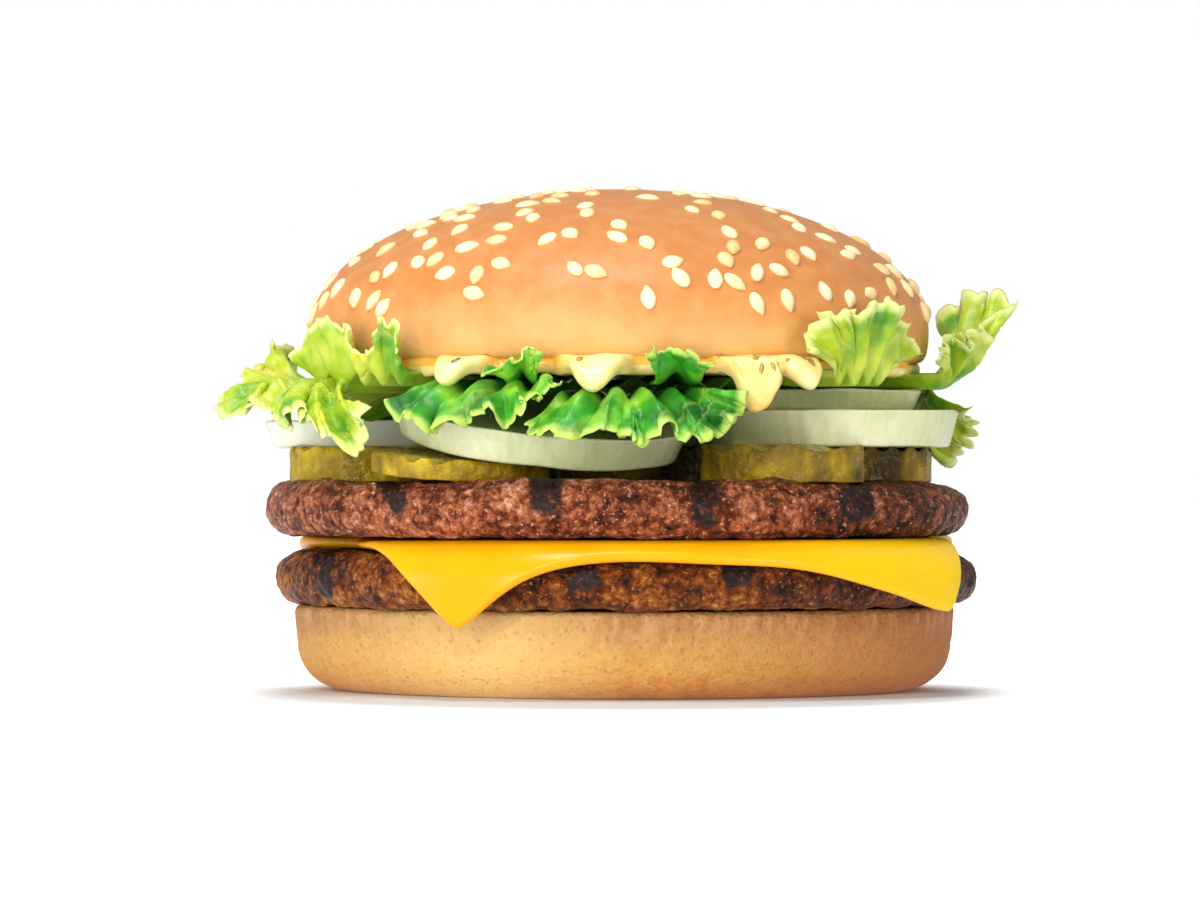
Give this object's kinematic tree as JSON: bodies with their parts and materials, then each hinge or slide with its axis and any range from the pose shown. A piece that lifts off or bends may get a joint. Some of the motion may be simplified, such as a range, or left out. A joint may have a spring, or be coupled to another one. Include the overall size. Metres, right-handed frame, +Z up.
{
  "type": "hamburger",
  "caption": "Double cheeseburger on a sesame bun with lettuce, onion, pickles and sauce, resting on its flat base.",
  "frame": {"origin": "centre of the heel's flat underside, where the burger rests", "axes": "+Z up through the stack, -Y towards the side seen in the picture, +X to the right of that side"},
  "size_m": [0.1228, 0.1157, 0.0772],
  "materials": {
    "heel_crust": "baked crumb-side crust, dry and finely porous",
    "crown_crust": "golden baked crust with a soft satin sheen",
    "sesame": "toasted sesame, waxy",
    "beef": "flame-grilled mince, moist highlights",
    "cheese": "half-melted processed cheese, smooth",
    "pickle": "wet pickled cucumber",
    "onion": "raw onion, wet and slightly translucent",
    "lettuce": "fresh curly leaf, waxy",
    "burger_sauce": "thick creamy sauce with relish",
    "relish": "chopped pickle"
  },
  "bodies": {
    "root": {"bottom_bun": "heel_crust", "lower_patty": "beef", "cheese_slice": "cheese", "upper_patty": "beef", "pickle_1": "pickle", "pickle_2": "pickle", "pickle_3": "pickle", "pickle_4": "pickle", "pickle_5": "pickle", "pickle_6": "pickle", "pickle_7": "pickle", "pickle_8": "pickle", "onion_1": "onion", "onion_2": "onion", "onion_3": "onion", "onion_4": "onion", "onion_5": "onion", "leaf_left": "lettuce", "leaf_left_upper": "lettuce", "leaf_front_left": "lettuce", "leaf_front_left_upper": "lettuce", "leaf_front": "lettuce", "leaf_front_upper": "lettuce", "leaf_middle": "lettuce", "leaf_right": "lettuce", "leaf_far_right": "lettuce", "leaf_right_low": "lettuce", "leaf_back_right": "lettuce", "leaf_back": "lettuce", "leaf_back_left": "lettuce", "leaf_back_left_upper": "lettuce", "leaf_back_upper": "lettuce", "sauce": "burger_sauce", "top_bun": "crown_crust"}
  },
  "joints": []
}
